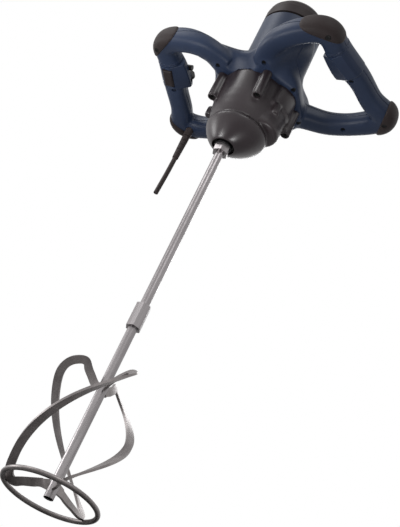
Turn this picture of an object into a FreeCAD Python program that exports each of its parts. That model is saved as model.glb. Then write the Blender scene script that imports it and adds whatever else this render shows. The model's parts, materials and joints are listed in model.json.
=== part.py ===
import FreeCAD, Part
import math
import os

# Hand-held mixing drill: motor, two-stage gearbox, loop handle frame and a
# helical mixing paddle. Millimetres. The spindle axis is the Z axis, +Z runs
# from the paddle up to the motor, +X is the right handle, -Y is the front.
# Z is zero at the plane of the paddle's bottom ring.

V = FreeCAD.Vector
UP = V(0, 0, 1)

# Clearances
running_gap = 0.05
seat_gap = 0.02
slide_gap = 0.08
body_gap = 0.4
overrun = 4.0

# Paddle
rod_r = 6.0
rod_stub = 4.0
ring_r = 57.0
ring_tube_r = 3.0
blade_count = 3
blade_r = 60.0
blade_width = 10.0
blade_thick = 3.0
blade_root_z = 12.2
blade_foot_z = 3.3
blade_top_z = 161.8
blade_crown_z = 138.7
blade_foot_bend = 8.5
blade_top_bend = 23.7
blade_twist_deg = 150.0
blade_start_deg = 76.0
blade_arm_steps = 5
blade_bend_steps = 4
blade_rise_steps = 12

# Paddle rods and their screwed joints
sleeve_z = 229.0
sleeve_length = 34.0
sleeve_flats = 17.5
nut_z = 524.0
nut_length = 12.0
nut_flats = 19.5
thread_r = 7.0
thread_length = 20.0
thread_relief = 2.0

# Gearbox casting
case_axis_y = 15.0
case_r = 49.3
case_wall = 4.0
case_floor_z = 567.0
case_top_z = 655.0
case_dome_rise = 28.0
nose_z = 536.0
nose_base_r = 36.5
nose_height = 30.0
nose_top_z = 572.0
lay_case_r = 30.0
lay_case_z = 578.0
lay_case_dome = 18.0
case_screw_r = 2.5
case_screw_head_r = 4.2
case_screw_head = 5.0
case_screw_grip = 12.0
case_boss_r = 6.5
case_boss_z = 614.0
case_web_reach = 14.0
front_boss_x = 35.3
front_boss_y = -26.5
rear_boss_x = 49.0
rear_boss_y = 49.5
lug_x = 52.0
lug_y = 4.0
lug_z = 602.0
lug_length = 16.0
# Turned profiles from the bottom up: share of the radius, share of the rise
case_profile_shares = ((0.62, 0.0), (0.86, 0.22), (0.97, 0.62), (1.0, 1.0))
nose_profile_shares = ((0.48, 0.0), (0.66, 0.10), (0.81, 0.28), (0.92, 0.50), (0.985, 0.76), (1.0, 1.0))
lay_profile_shares = ((0.6, 0.0), (0.88, 0.35), (1.0, 1.0))
room_profile_shares = ((0.66, 0.0), (0.90, 0.36), (1.0, 1.0))

# Bearing plate
plate_z = 643.0
plate_ledge = 2.0

# Motor
motor_axis_y = 24.5
motor_r = 45.0
motor_wall = 2.5
motor_top_z = 793.0
motor_web_z = 776.0
motor_web = 6.0
vent_gap = 4.0
vent_post_count = 10
vent_post = 6.0
cap_height = 33.0
cap_wall = 2.5
cap_profile_shares = ((1.0, 0.0), (1.0, 0.45), (0.965, 0.70), (0.87, 0.90), (0.70, 1.0))
stator_z = 692.0
stator_length = 52.0
stator_bore_r = 25.4
coil_height = 10.0
coil_inner_r = 28.0
coil_outer_r = 40.0
coil_span_deg = 150.0
air_gap = 0.8
winding_height = 8.0
winding_r = 20.0
commutator_r = 12.5
commutator_length = 14.0
fan_z = 662.0
fan_r = 38.0
fan_disc = 2.0
fan_blade_height = 10.0
fan_blade_thick = 2.0
fan_blade_count = 13
fan_hub_r = 10.0
brush_width = 6.0
brush_height = 10.0
brush_length = 14.0
holder_wall = 1.5
holder_gap = 2.0

# Gear train: armature pinion, layshaft, output gear
fast_module = 1.0
fast_pinion_teeth = 12
fast_gear_teeth = 48
slow_module = 1.25
slow_pinion_teeth = 12
slow_gear_teeth = 45
pressure_deg = 20.0
addendum_share = 0.72
dedendum_share = 1.0
backlash_share = 0.12
flank_steps = 4
slow_z = 598.0
slow_face = 14.0
fast_z = 622.0
fast_face = 10.0
pinion_overhang = 2.0

# Shafts and bearings
armature_r = 5.0
armature_end_z = 616.0
armature_top_z = 785.0
lay_r = 5.0
lay_journal_r = 4.0
lay_top_z = 650.0
spindle_collar_r = 12.0
spindle_collar = 15.0
spindle_seat_r = 8.5
spindle_gear_r = 9.0
spindle_journal_r = 7.0
spindle_top_z = 652.0
spindle_face_z = 536.0
seal_r = 16.0
seal_height = 6.0
seal_drop = 6.0
spindle_bearing_r = 17.5
spindle_bearing_height = 10.0
bush_r = 9.0
bush_height = 9.0
lay_bearing_r = 11.0
lay_bearing_height = 7.0
motor_bearing_r = 13.0
motor_bearing_height = 8.0
circlip_height = 1.2
circlip_r = 11.5

# Handle frame: two half shells, split at one level
grip_reach = 150.0
frame_depth = 100.0
frame_floor = 651.0
frame_height = 50.0
frame_split_share = 0.58
grip_width = 32.0
frame_wall = 3.0
grip_round_share = 0.72
section_points = 12
# Turn of a section's first point from its inner side, and sections per station
seam_turn_share = 1 / 6
sections_per_station = 2

# Screws of the frame
frame_screw_r = 1.9
frame_screw_head_r = 3.4
frame_screw_head = 2.6
frame_screw_sink = 5.0
frame_screw_length = 26.0
frame_boss_r = 5.0

# Corner bumpers
front_bumper_thick = 2.5
rear_bumper_thick = 4.0
bumper_screw_r = 1.9
bumper_screw_length = 11.0
bumper_sink_r = 3.8
bumper_screw_head = 1.0
bumper_floor = 1.3

# Trigger in the left grip
trigger_station = 5.77
trigger_width = 14.0
trigger_length = 30.0
trigger_swing = 1.3
trigger_drop = 4.5
trigger_inside = 7.0
trigger_round = 2.5
trigger_pin_r = 1.5
trigger_pin_length = 24.0
trigger_pin_inset = 4.0
trigger_pin_rise = 3.0
pin_rib = 4.0
switch_width = 15.0
switch_length = 24.0
switch_height = 9.0
switch_gap = 7.5
switch_post_r = 4.0
spring_wire_r = 0.5
spring_r = 3.2

# Lock button and speed wheel on the inner face of the left grip
lock_station = 5.62
lock_r = 4.0
lock_length = 9.0
lock_proud = 3.0
lock_rise_share = 0.76
dial_station = 6.1
dial_r = 9.0
dial_thick = 5.0
dial_proud = 3.2
dial_rise_share = 0.76
dial_pin_r = 1.5
dial_slot_gap = 0.6
dial_teeth = 24
dial_tooth = 0.5
module_length = 8.0
module_width = 8.0
module_height = 10.0
module_shift = 2.5
module_gap = 0.8
module_post_r = 3.0

# Mains lead, hanging from the rear left corner
relief_x = -151.2
relief_y = 91.5
relief_length = 59.0
relief_top_r = 6.25
relief_tip_r = 4.6
relief_flange_r = 8.5
relief_flange = 2.5
relief_rib_count = 5
relief_slot = 1.4
relief_neck = 12.0
cord_r = 3.6
cord_bend_share = 0.45
clamp_length = 14.0
clamp_width = 8.0
clamp_height = 5.0
clamp_lift = 0.8
clamp_station = 11.3

# The cord's route below the relief, points chosen by hand: x, y, z
cord_route = (
    (-151.2, 91.5, 604.0),
    (-151.2, 91.5, 590.0),
    (-151.9, 91.5, 564.0),
    (-153.2, 91.5, 536.0),
)

# Loop path from the hub's front round the right grip to the hub's rear:
# x of the reach, y of the depth, floor and top of the height,
# half width and inward swell of the grip width. The swell is negative in
# the corners, so that the inner side doesn't fold in the bend.
loop_shares = (
    (0.20, -0.38, 0.03, 0.48, 0.47, 0.00),
    (0.32, -0.60, 0.08, 0.61, 0.47, 0.00),
    (0.508, -0.712, 0.17, 0.81, 0.47, 0.00),
    (0.70, -0.717, 0.27, 0.93, 0.47, 0.00),
    (0.848, -0.632, 0.33, 0.96, 0.50, -0.15),
    (0.886, -0.394, 0.34, 0.97, 0.48, 0.14),
    (0.938, -0.081, 0.33, 0.96, 0.47, 0.40),
    (0.994, 0.246, 0.35, 0.93, 0.46, 0.06),
    (1.033, 0.564, 0.30, 0.87, 0.47, 0.00),
    (1.09, 0.783, 0.29, 0.91, 0.51, -0.13),
    (1.039, 0.943, 0.32, 0.94, 0.53, -0.15),
    (0.866, 0.993, 0.30, 0.89, 0.48, 0.00),
    (0.694, 0.98, 0.25, 0.82, 0.46, 0.00),
    (0.501, 0.903, 0.17, 0.77, 0.47, 0.00),
    (0.331, 0.766, 0.12, 0.77, 0.50, 0.00),
    (0.17, 0.66, 0.03, 0.80, 0.55, 0.00),
)

# Right half of the hub's outline, front centre to rear centre, at four
# levels: x of the reach, y of the depth
hub_floor_shares = (
    (0.0, -0.327), (0.131, -0.378), (0.23, -0.50), (0.308, -0.474), (0.314, -0.336), (0.329, -0.177),
    (0.435, 0.052), (0.425, 0.281), (0.374, 0.58), (0.274, 0.80), (0.124, 0.90), (0.0, 0.92),
)
hub_knee_shares = (
    (0.0, -0.453), (0.162, -0.523), (0.331, -0.648), (0.468, -0.573), (0.435, -0.396), (0.389, -0.236),
    (0.434, 0.022), (0.414, 0.261), (0.373, 0.561), (0.313, 0.82), (0.144, 0.94), (0.0, 0.96),
)
hub_waist_shares = (
    (0.0, -0.405), (0.197, -0.51), (0.442, -0.654), (0.62, -0.492), (0.517, -0.275), (0.461, -0.077),
    (0.404, 0.182), (0.352, 0.402), (0.344, 0.581), (0.321, 0.821), (0.153, 0.94), (0.0, 0.97),
)
hub_deck_shares = (
    (0.0, -0.179), (0.204, -0.29), (0.442, -0.466), (0.619, -0.392), (0.557, -0.135), (0.466, 0.063),
    (0.379, 0.223), (0.329, 0.383), (0.318, 0.563), (0.297, 0.783), (0.144, 0.891), (0.0, 0.92),
)
# Level of the height and scale of each hub outline
hub_level_shares = (
    (0.00, hub_floor_shares, 0.93),
    (0.08, hub_floor_shares, 1.00),
    (0.38, hub_knee_shares, 1.00),
    (0.68, hub_waist_shares, 1.00),
    (0.96, hub_deck_shares, 1.00),
    (1.06, hub_deck_shares, 0.90),
)
hub_cavity_level_shares = (
    (0.07, hub_floor_shares, 0.90),
    (0.38, hub_knee_shares, 0.90),
    (0.68, hub_waist_shares, 0.88),
    (0.92, hub_deck_shares, 0.84),
)
hub_centre_share = 0.20
# Edges that each hub outline is divided into
hub_arcs = 4

# Frame screws on the right half, mirrored to the left: x of the reach,
# y of the depth
frame_screw_shares = (
    (0.242, -0.45), (0.523, -0.695), (0.95, 0.10), (0.41, 0.07), (0.315, 0.69), (0.70, 0.945),
)
# Bumper corners: first and last loop station, place of the cutting plane's
# point, and the outward direction of the plane
front_bumper_shares = ((2.4, 5.2), (0.769, -0.741), (0.594, -0.804))
rear_bumper_shares = ((8.3, 11.3), (1.115, 0.819), (0.84, 0.538))
# Share of the way along a bumper and share of its thickness there
bumper_swell_shares = (
    (0.0, 0.05), (0.1, 0.45), (0.2, 0.75), (0.35, 0.93), (0.5, 1.0), (0.65, 0.93), (0.8, 0.75),
    (0.9, 0.45), (1.0, 0.05),
)
front_bumper_screw_shares = (0.896, -0.674)
rear_bumper_screw_shares = (1.123, 0.90)

os.makedirs("parts", exist_ok=True)

# Places worked out from the driving dimensions
motor_at = V(0, motor_axis_y, 0)
case_at = V(0, case_axis_y, 0)
fast_distance = fast_module * (fast_pinion_teeth + fast_gear_teeth) / 2
slow_distance = slow_module * (slow_pinion_teeth + slow_gear_teeth) / 2
lay_y = motor_axis_y / 2 + (slow_distance ** 2 - fast_distance ** 2) / (2 * motor_axis_y)
lay_x = math.sqrt(slow_distance ** 2 - lay_y ** 2)
lay_at = V(lay_x, lay_y, 0)
frame_split = frame_floor + frame_height * frame_split_share
motor_bore_r = motor_r + body_gap
stator_r = motor_r - motor_wall - seat_gap
cap_z = motor_top_z + vent_gap


def save(shape, name):
    shape.exportStep("parts/" + name + ".step")


def cylinder(radius, low, high, at=V(0, 0, 0)):
    return Part.makeCylinder(radius, high - low, at + V(0, 0, low))


def tube(outer, inner, low, high, at=V(0, 0, 0)):
    return cylinder(outer, low, high, at).cut(cylinder(inner, low - overrun, high + overrun, at))


def turned(profile, at=V(0, 0, 0)):
    """Solid turned about a vertical axis from (radius, height) points."""
    points = [at + V(r, 0, z) for r, z in profile]
    face = Part.Face(Part.makePolygon(points + points[:1]))
    return face.revolve(at, UP, 360)


def shaped(shares, radius, low, rise):
    """Profile points (radius, height) from shares of a radius and a rise."""
    return [(radius * r, low + rise * z) for r, z in shares]


def prism(points, low, high):
    wire = Part.makePolygon([V(x, y, low) for x, y in points + points[:1]])
    return Part.Face(wire).extrude(V(0, 0, high - low))


def hexagon(flats, low, high):
    corner = flats / math.sqrt(3)
    angles = [math.radians(60 * i) for i in range(6)]
    return prism([(corner * math.cos(a), corner * math.sin(a)) for a in angles], low, high)


def mirrored(shape):
    return shape.mirror(V(0, 0, 0), V(1, 0, 0))


def joined(shapes):
    first, *others = shapes
    return first.fuse(others).removeSplitter() if others else first


def turn(shape, degrees, at=V(0, 0, 0)):
    copy = shape.copy()
    copy.rotate(at, UP, degrees)
    return copy


def direction(start, end):
    return math.atan2(end.y - start.y, end.x - start.x)


def involute(angle):
    return math.tan(angle) - angle


def gear(module, teeth, low, high, at, tooth_angle):
    """Spur gear with short involute teeth, one tooth centred on tooth_angle."""
    pitch = module * teeth / 2
    base = pitch * math.cos(math.radians(pressure_deg))
    tip = pitch + addendum_share * module
    root = pitch - dedendum_share * module
    start = max(base, root)
    half = math.pi / (2 * teeth) - backlash_share * module / (2 * pitch)
    half += involute(math.radians(pressure_deg))
    flank = [(root, half)] if root < base else []
    for i in range(flank_steps + 1):
        radius = start + (tip - start) * i / flank_steps
        flank.append((radius, half - involute(math.acos(min(1, base / radius)))))
    outline = []
    for tooth in range(teeth):
        middle = tooth_angle + 2 * math.pi * tooth / teeth
        outline += [(r, middle - a) for r, a in flank]
        outline += [(r, middle + a) for r, a in reversed(flank)]
    points = [(at.x + r * math.cos(a), at.y + r * math.sin(a)) for r, a in outline]
    return prism(points, low, high)


# Handle frame geometry

loop_params = list(range(len(loop_shares)))


def spline_through(points, params):
    curve = Part.BSplineCurve()
    curve.interpolate(Points=points, Parameters=[float(p) for p in params])
    return curve


def loop_height(share):
    return frame_floor + frame_height * share


loop_path = spline_through(
    [V(grip_reach * x, frame_depth * y, 0) for x, y, *rest in loop_shares], loop_params)
# A third coordinate counts the stations, so no two neighbours coincide
loop_levels = spline_through(
    [V(loop_height(row[2]), loop_height(row[3]), p) for p, row in zip(loop_params, loop_shares)], loop_params)
loop_widths = spline_through(
    [V(grip_width * row[4], grip_width * row[5], p) for p, row in zip(loop_params, loop_shares)], loop_params)


class LoopPlace:
    """Centre, directions and section sizes of the right loop at a station."""

    def __init__(self, station):
        self.centre = loop_path.value(station)
        self.along = V(*loop_path.tangent(station)[0])
        self.inward = UP.cross(self.along)
        levels = loop_levels.value(station)
        self.low, self.high = levels.x, levels.y
        widths = loop_widths.value(station)
        self.half, self.swell = widths.x, widths.y

    def point(self, inward=0, along=0, z=0):
        place = self.centre + self.inward * inward + self.along * along
        return V(place.x, place.y, z)

    def section(self, grow):
        middle = (self.low + self.high) / 2
        rise = (self.high - self.low) / 2 + grow
        points = []
        for i in range(section_points):
            angle = 2 * math.pi * (i / section_points - seam_turn_share)
            side = math.copysign(abs(math.cos(angle)) ** grip_round_share, math.cos(angle))
            lift = math.copysign(abs(math.sin(angle)) ** grip_round_share, math.sin(angle))
            reach = self.half + grow + (self.swell if side > 0 else 0)
            points.append(self.point(inward=side * reach, z=middle + lift * rise))
        return closed_curve(points)


def closed_curve(points, arcs=1):
    """Smooth closed wire, with the same parameters for outlines of equal count."""
    curve = Part.BSplineCurve()
    count = len(points)
    curve.interpolate(Points=points, PeriodicFlag=True, Parameters=[float(i) for i in range(count + 1)])
    if arcs == 1:
        return Part.Wire([curve.toShape()])
    marks = [count * i / arcs for i in range(arcs + 1)]
    return Part.Wire([curve.toShape(start, end) for start, end in zip(marks, marks[1:])])


def loop_solid(grow):
    steps = sections_per_station * (len(loop_shares) - 1)
    places = [LoopPlace(s / sections_per_station) for s in range(steps + 1)]
    return Part.makeLoft([place.section(grow) for place in places], True, False)


def hub_outline(shares, scale, z):
    centre = frame_depth * hub_centre_share
    half = [(grip_reach * x * scale, centre + (frame_depth * y - centre) * scale) for x, y in shares]
    points = [V(x, y, z) for x, y in half]
    points += [V(-x, y, z) for x, y in reversed(half[1:-1])]
    return closed_curve(points, hub_arcs)


def hub_solid(level_shares):
    wires = [hub_outline(shares, scale, loop_height(level)) for level, shares, scale in level_shares]
    return Part.makeLoft(wires, True, False)


def frame_place(x_share, y_share, side):
    return V(side * grip_reach * x_share, frame_depth * y_share, 0)


def slab(low, high):
    """Block wider than the frame between two heights."""
    reach = 2 * grip_reach
    return Part.makeBox(2 * reach, 2 * reach, high - low, V(-reach, -reach, low))


def case_outline(grow, low, high):
    """Plan of the gearbox with its layshaft bulge."""
    main = cylinder(case_r + grow, low, high, case_at)
    return main.fuse(cylinder(lay_case_r + grow, low, high, lay_at))


def boss_web(at, grow):
    """Rib as wide as a screw boss, from the boss into the gearbox wall."""
    inward = (case_at - at).normalize()
    across = UP.cross(inward) * (case_boss_r + grow)
    end = at + inward * case_web_reach
    corners = [(p.x, p.y) for p in (at + across, at - across, end - across, end + across)]
    return prism(corners, case_boss_z, case_top_z + grow)


def nearest_loop(place):
    """Loop station nearest to a place on the right half."""
    return loop_path.parameter(V(abs(place.x), place.y, 0))


def floor_at(place):
    """Underside height of the frame near a place."""
    station = nearest_loop(place)
    spot = LoopPlace(station)
    near = spot.centre.distanceToPoint(V(abs(place.x), place.y, 0)) < spot.half + spot.swell
    return spot.low if near and 1 < station < len(loop_shares) - 2 else frame_floor


def under_at(place):
    """Underside of the loop's rounded section at a place off its middle."""
    spot = LoopPlace(nearest_loop(place))
    across = (V(abs(place.x), place.y, 0) - spot.centre).dot(spot.inward)
    reach = spot.half + (spot.swell if across > 0 else 0)
    share = min(1, abs(across) / reach)
    drop = (1 - share ** (2 / grip_round_share)) ** (grip_round_share / 2)
    return (spot.low + spot.high) / 2 - drop * (spot.high - spot.low) / 2


screw_places = [
    frame_place(x, y, side) for x, y in frame_screw_shares for side in (1, -1)
]
case_screw_places = [
    V(side * x, y, 0)
    for x, y in ((front_boss_x, front_boss_y), (rear_boss_x, rear_boss_y))
    for side in (1, -1)
]
bumper_screw_places = {
    "front_right": frame_place(*front_bumper_screw_shares, 1),
    "front_left": frame_place(*front_bumper_screw_shares, -1),
    "rear_right": frame_place(*rear_bumper_screw_shares, 1),
}


def on_left(vector):
    return V(-vector.x, vector.y, vector.z)


def left_box(spot, across, along, low, high, shift_in=0, shift_along=0):
    """Box in the left grip, aligned with the grip at a loop station."""
    corners = [
        spot.point(inward=shift_in + across * a / 2, along=shift_along + along * b / 2, z=low)
        for a, b in ((-1, -1), (1, -1), (1, 1), (-1, 1))
    ]
    wire = Part.makePolygon([on_left(p) for p in corners + corners[:1]])
    return Part.Face(wire).extrude(V(0, 0, high - low))


def left_bar(spot, radius, start_in, end_in, z, shift_along=0):
    """Round bar across the left grip."""
    start = on_left(spot.point(inward=start_in, along=shift_along, z=z))
    end = on_left(spot.point(inward=end_in, along=shift_along, z=z))
    return Part.makeCylinder(radius, (end - start).Length, start, end - start)


# Places inside the left grip
trigger_spot = LoopPlace(trigger_station)
trigger_low = trigger_spot.low - trigger_drop
trigger_top = trigger_spot.low + trigger_inside
trigger_pin_z = trigger_spot.low + trigger_pin_rise
trigger_pin_along = trigger_length / 2 - trigger_pin_inset
switch_low = trigger_top + switch_gap
switch_top = switch_low + switch_height
lock_spot = LoopPlace(lock_station)
lock_z = loop_height(lock_rise_share)
dial_spot = LoopPlace(dial_station)
dial_z = loop_height(dial_rise_share)
dial_in = dial_spot.half + dial_spot.swell + dial_proud - dial_r
module_in = dial_in - module_shift
module_along = dial_thick / 2 + module_gap + module_length / 2
relief_at = V(relief_x, relief_y, 0)
relief_seat_z = floor_at(relief_at) + frame_wall
clamp_spot = LoopPlace(clamp_station)


def build_frame():
    """Both half shells of the handle frame."""
    right = loop_solid(0)
    right_hollow = loop_solid(-frame_wall)
    outer = hub_solid(hub_level_shares).fuse([right, mirrored(right)])
    hub_hollow = hub_solid(hub_cavity_level_shares)
    hub_hollow = hub_hollow.cut(cylinder(motor_bore_r + frame_wall, frame_floor, cap_z, motor_at))
    hollow = hub_hollow.fuse([right_hollow, mirrored(right_hollow)])
    posts = [cylinder(frame_boss_r, frame_floor, cap_z, at) for at in screw_places]
    posts += [cylinder(case_boss_r, frame_floor, cap_z, at) for at in case_screw_places]
    posts += [cylinder(frame_boss_r, frame_floor, cap_z, at) for at in bumper_screw_places.values()]
    posts.append(cylinder(relief_flange_r + frame_wall, frame_floor, frame_split, relief_at))
    posts.append(left_bar_post(trigger_spot, switch_post_r, switch_top))
    posts.append(left_bar_post(dial_spot, module_post_r, dial_z + module_height / 2, module_in, module_along))
    rib_centre = (trigger_width + pin_rib) / 2 + body_gap
    for side in (1, -1):
        rib = left_box(trigger_spot, pin_rib, pin_rib + 2 * trigger_pin_inset, frame_floor,
                       trigger_pin_z + trigger_pin_inset, side * rib_centre, trigger_pin_along)
        posts.append(rib)
    cuts = [cylinder(motor_bore_r, frame_floor - overrun, cap_z, motor_at)]
    cuts.append(case_outline(body_gap, frame_floor - overrun, case_top_z + body_gap))
    for at in screw_places:
        floor = floor_at(at)
        seat = floor + frame_screw_sink
        cuts.append(cylinder(frame_screw_head_r + slide_gap, frame_floor - overrun, seat, at))
        cuts.append(cylinder(frame_screw_r + slide_gap, seat - overrun,
                             seat + frame_screw_length - frame_screw_head + body_gap, at))
    for at in case_screw_places:
        cuts.append(cylinder(case_boss_r + body_gap, frame_floor - overrun, case_top_z + body_gap, at))
        cuts.append(boss_web(at, body_gap))
        cuts.append(cylinder(case_screw_r + slide_gap, frame_floor - overrun,
                             case_top_z + case_screw_grip + body_gap, at))
    for at in bumper_screw_places.values():
        cuts.append(cylinder(bumper_screw_r + slide_gap, frame_floor - overrun,
                             under_at(at) + bumper_screw_length + body_gap, at))
    cuts.append(cylinder(relief_top_r + slide_gap, frame_floor - overrun, frame_split, relief_at))
    cuts.append(cylinder(relief_flange_r + slide_gap, relief_seat_z, frame_split + overrun, relief_at))
    cuts.append(left_box(trigger_spot, trigger_width + 2 * body_gap, trigger_length + body_gap + trigger_swing,
                         frame_floor, trigger_top + overrun, 0, (trigger_swing - body_gap) / 2))
    cuts.append(left_bar(trigger_spot, trigger_pin_r + seat_gap, -trigger_pin_length / 2 - seat_gap,
                         trigger_pin_length / 2 + seat_gap, trigger_pin_z, trigger_pin_along))
    lock_face = lock_spot.half + lock_spot.swell + lock_proud
    cuts.append(left_bar(lock_spot, lock_r + slide_gap, lock_face - lock_length - lock_proud - body_gap,
                         lock_face + overrun, lock_z))
    cuts.append(left_box(dial_spot, 2 * (dial_r + dial_slot_gap), dial_thick + 2 * dial_slot_gap,
                         dial_z - dial_r - dial_slot_gap, dial_z + dial_r + dial_slot_gap, dial_in))
    cuts.append(left_box(dial_spot, module_width + 2 * seat_gap, module_length + 2 * seat_gap,
                         dial_z - module_height / 2 - seat_gap, dial_z + module_height / 2 + seat_gap,
                         module_in, module_along))
    lower = frame_half(outer, hollow, posts, cuts, frame_floor - overrun, frame_split)
    upper = frame_half(outer, hollow, posts, cuts, frame_split, cap_z)
    return lower, upper


def frame_half(outer, hollow, posts, cuts, low, high):
    """One shell: the frame between two heights, hollowed and bored."""
    block = slab(low, high)
    inside = hollow.common(block)
    for post in posts:
        if post.BoundBox.ZMin < high and post.BoundBox.ZMax > low:
            inside = inside.cut(post)
    shell = outer.common(block).cut(inside)
    for tool in cuts:
        if tool.BoundBox.ZMin < high and tool.BoundBox.ZMax > low:
            shell = shell.cut(tool)
    return biggest(shell)


def left_bar_post(spot, radius, low, shift_in=0, shift_along=0):
    """Round post that hangs from the frame's top inside the left grip."""
    at = on_left(spot.point(inward=shift_in, along=shift_along))
    return cylinder(radius, low, cap_z, at)


def biggest(shape):
    return max(shape.Solids, key=lambda solid: solid.Volume)


def build_bumper(thick, stations, plane_shares, outward, screw_at):
    """Cap over an outer corner of the right loop, thickest in its middle."""
    first, last = stations
    sections = []
    for way, swell in bumper_swell_shares:
        place = LoopPlace(first + (last - first) * way)
        sections.append(place.section(body_gap + thick * swell))
    fat = Part.makeLoft(sections, True, False)
    normal = V(*outward, 0).normalize()
    point = frame_place(*plane_shares, 1)
    across = UP.cross(normal)
    size = 2 * grip_reach
    corner = point - across * size / 2 + V(0, 0, frame_floor - overrun)
    wire = Part.makePolygon([
        corner, corner + across * size, corner + across * size + normal * size, corner + normal * size, corner])
    half_space = Part.Face(wire).extrude(V(0, 0, 2 * frame_height))
    cap = fat.common(half_space).cut(loop_core)
    if screw_at is not None:
        low = under_at(screw_at)
        cap = cap.cut(cylinder(bumper_screw_r + slide_gap, frame_floor - overrun, low + overrun, screw_at))
        cap = cap.cut(cylinder(bumper_sink_r, frame_floor - overrun, low - bumper_floor, screw_at))
    return biggest(cap)


def build_blade(start_deg):
    """Flat C-shaped strip twisted about the rod as a helicoid."""
    foot = blade_foot_z
    top = blade_top_z
    middle = blade_r - blade_width / 2
    pitch = math.radians(blade_twist_deg) / (top - foot)
    line = []
    foot_end = middle - blade_foot_bend
    for i in range(blade_arm_steps):
        share = i / blade_arm_steps
        line.append((rod_r * (1 - share) + foot_end * share, blade_root_z + (foot - blade_root_z) * share))
    for i in range(blade_bend_steps + 1):
        angle = math.pi / 2 * i / blade_bend_steps
        line.append((foot_end + blade_foot_bend * math.sin(angle),
                     foot + blade_foot_bend * (1 - math.cos(angle))))
    rise_low = foot + blade_foot_bend
    rise_high = top - blade_top_bend
    for i in range(1, blade_rise_steps):
        line.append((middle, rise_low + (rise_high - rise_low) * i / blade_rise_steps))
    top_end = middle - blade_top_bend
    for i in range(blade_bend_steps + 1):
        angle = math.pi / 2 * i / blade_bend_steps
        line.append((top_end + blade_top_bend * math.cos(angle), rise_high + blade_top_bend * math.sin(angle)))
    for i in range(1, blade_arm_steps + 1):
        share = i / blade_arm_steps
        line.append((top_end * (1 - share) + rod_r * share, top + (blade_crown_z - top) * share))
    wires = []
    for i, (r, z) in enumerate(line):
        before = line[max(0, i - 1)]
        after = line[min(len(line) - 1, i + 1)]
        angle = math.radians(start_deg) + pitch * (z - foot)
        radial = V(math.cos(angle), math.sin(angle), 0)
        rise = V(-r * pitch * math.sin(angle), r * pitch * math.cos(angle), 1)
        tangent = radial * (after[0] - before[0]) + rise * (after[1] - before[1])
        normal = radial.cross(rise).normalize()
        side = normal.cross(tangent).normalize() * (blade_width / 2)
        lift = normal * (blade_thick / 2)
        centre = radial * r + V(0, 0, z)
        corners = [centre + side + lift, centre - side + lift, centre - side - lift, centre + side - lift]
        wires.append(Part.makePolygon(corners + corners[:1]))
    strip = Part.makeLoft(wires, True, False)
    strip = strip.cut(cylinder(rod_r, -ring_r, sleeve_z))
    return strip.cut(Part.makeTorus(ring_r, ring_tube_r))


# Paddle
nut_top = nut_z + nut_length
rod_middle = sleeve_z + sleeve_length / 2
save(cylinder(rod_r, -rod_stub, rod_middle), "lower_rod")
save(cylinder(rod_r, rod_middle, nut_top), "upper_rod")
sleeve_bore = cylinder(rod_r + seat_gap, sleeve_z - overrun, nut_top + overrun)
save(hexagon(sleeve_flats, sleeve_z, sleeve_z + sleeve_length).cut(sleeve_bore), "coupling_sleeve")
adaptor = hexagon(nut_flats, nut_z, nut_top).cut(sleeve_bore)
adaptor = adaptor.fuse(cylinder(thread_r, nut_top, nut_top + thread_length))
save(adaptor, "paddle_adaptor")
save(Part.makeTorus(ring_r, ring_tube_r), "paddle_ring")
for number in range(blade_count):
    save(build_blade(blade_start_deg + 360 * number / blade_count), "paddle_blade_%d" % (number + 1))

# Spindle with its gear, seal, bearings and clip
bearing_z = spindle_face_z + spindle_collar
spindle = turned([
    (0, spindle_face_z), (spindle_collar_r, spindle_face_z), (spindle_collar_r, bearing_z),
    (spindle_seat_r, bearing_z), (spindle_seat_r, slow_z - circlip_height),
    (spindle_gear_r, slow_z - circlip_height), (spindle_gear_r, slow_z + slow_face),
    (spindle_journal_r, slow_z + slow_face), (spindle_journal_r, spindle_top_z), (0, spindle_top_z)])
spindle = spindle.cut(cylinder(thread_r + seat_gap, spindle_face_z - overrun,
                               spindle_face_z + thread_length + thread_relief))
save(spindle, "spindle")
out_angle = direction(V(0, 0, 0), lay_at)
output_gear = gear(slow_module, slow_gear_teeth, slow_z, slow_z + slow_face, V(0, 0, 0), out_angle)
save(output_gear.cut(cylinder(spindle_gear_r + seat_gap, slow_z - overrun, slow_z + slow_face + overrun)),
     "output_gear")
save(tube(circlip_r, spindle_journal_r + seat_gap, slow_z + slow_face, slow_z + slow_face + circlip_height),
     "gear_circlip")
seal_z = nose_z + seal_drop
save(tube(seal_r - seat_gap, spindle_collar_r + running_gap, seal_z, seal_z + seal_height), "spindle_seal")
save(tube(spindle_bearing_r - seat_gap, spindle_seat_r + running_gap, bearing_z + running_gap,
          bearing_z + spindle_bearing_height), "spindle_bearing")
save(tube(bush_r - seat_gap, spindle_journal_r + running_gap, plate_z, plate_z + bush_height), "spindle_bush")

# Layshaft with its pinion and the large gear pressed on it
lay_bearing_z = lay_case_z + lay_bearing_height
lay_pinion = gear(slow_module, slow_pinion_teeth, slow_z - pinion_overhang,
                  slow_z + slow_face + pinion_overhang, lay_at,
                  out_angle + math.pi + math.pi / slow_pinion_teeth)
lay_low = lay_bearing_z + lay_bearing_height
layshaft = joined([
    cylinder(lay_journal_r, lay_bearing_z, lay_top_z, lay_at),
    cylinder(lay_r, lay_low + body_gap, plate_z - body_gap, lay_at),
    lay_pinion])
save(layshaft, "layshaft")
motor_angle = direction(lay_at, motor_at)
fast_gear = gear(fast_module, fast_gear_teeth, fast_z, fast_z + fast_face, lay_at, motor_angle)
save(fast_gear.cut(cylinder(lay_r + seat_gap, fast_z - overrun, fast_z + fast_face + overrun, lay_at)),
     "intermediate_gear")
lay_rings = [
    tube(lay_bearing_r - seat_gap, lay_journal_r + running_gap, low, low + lay_bearing_height, lay_at)
    for low in (lay_bearing_z, plate_z)]
save(Part.makeCompound(lay_rings), "layshaft_bearings")

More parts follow.
